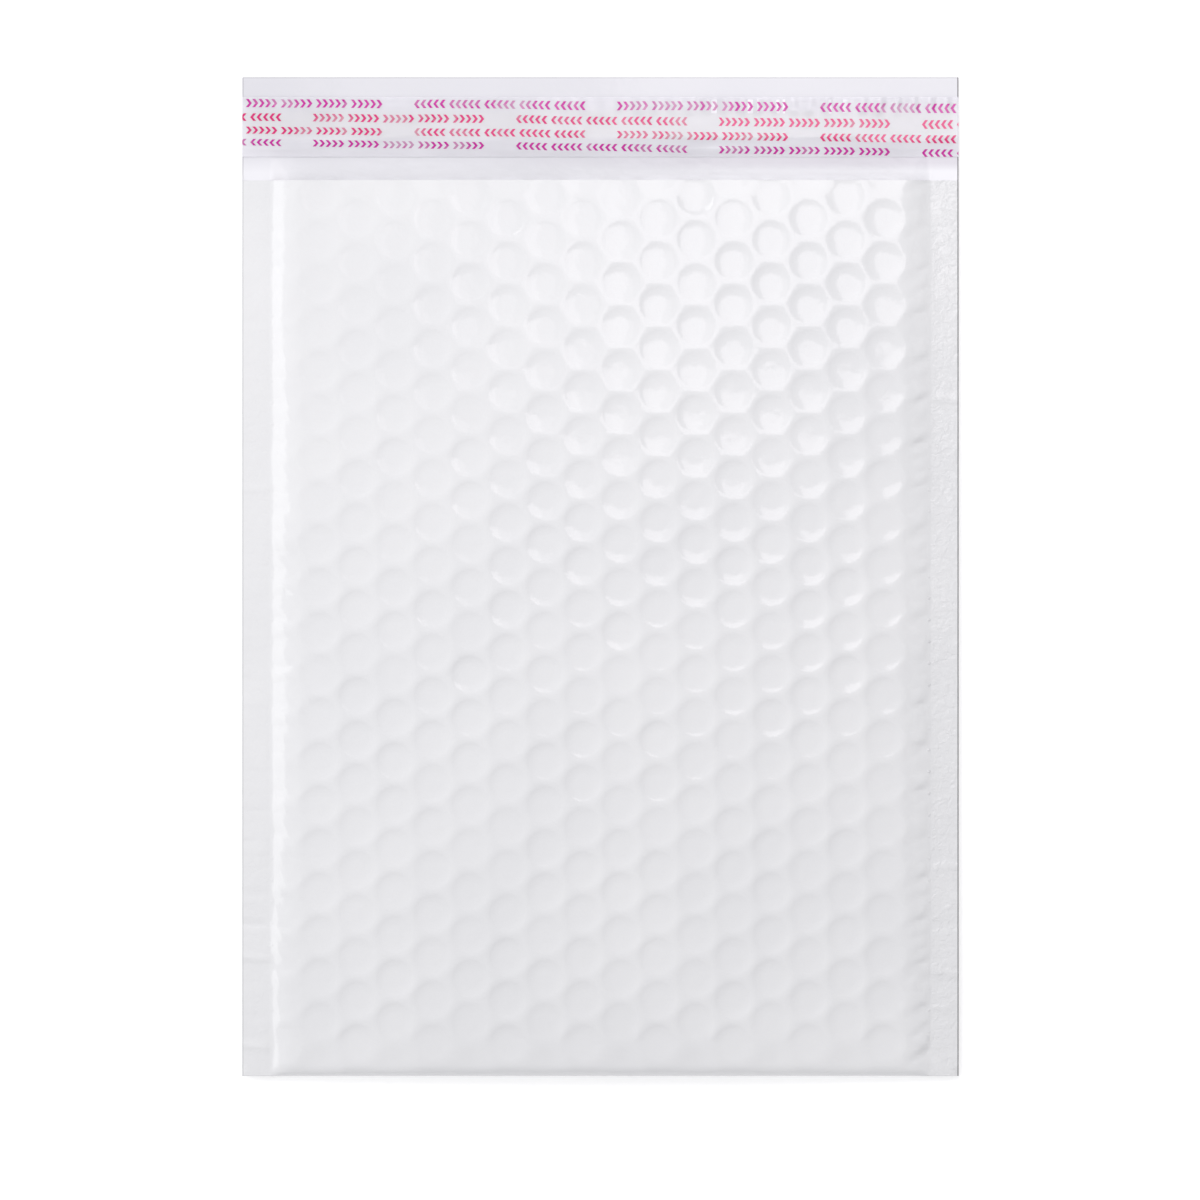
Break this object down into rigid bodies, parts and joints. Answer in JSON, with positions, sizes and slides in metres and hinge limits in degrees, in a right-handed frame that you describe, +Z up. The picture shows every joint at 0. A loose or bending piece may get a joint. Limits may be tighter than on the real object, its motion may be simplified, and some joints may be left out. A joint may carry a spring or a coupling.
{
  "type": "padded envelope",
  "caption": "Empty white bubble-lined mailing envelope lying on its back, open pocket at the top edge, welded sides, folded bottom and an open peel-and-seal flap.",
  "frame": {"origin": "centre of the whole envelope in plan, flap included, on the surface it lies on", "axes": "+Z up from the table through the front face, +Y from the folded bottom of the pouch to the tip of the flap, +X to the right as seen from above"},
  "size_m": [0.18, 0.251, 0.011],
  "materials": {
    "white_film": "glossy opaque white polythene film",
    "bubble_film": "clear polythene bubble film, milky where plies overlap",
    "hot_melt_glue": "cream translucent pressure-sensitive glue",
    "liner_film": "thin translucent strip with magenta print"
  },
  "bodies": {
    "root": {"outer_film": "white_film", "bubble_lining": "bubble_film", "adhesive_strip": "hot_melt_glue", "release_liner": "liner_film"}
  },
  "joints": []
}
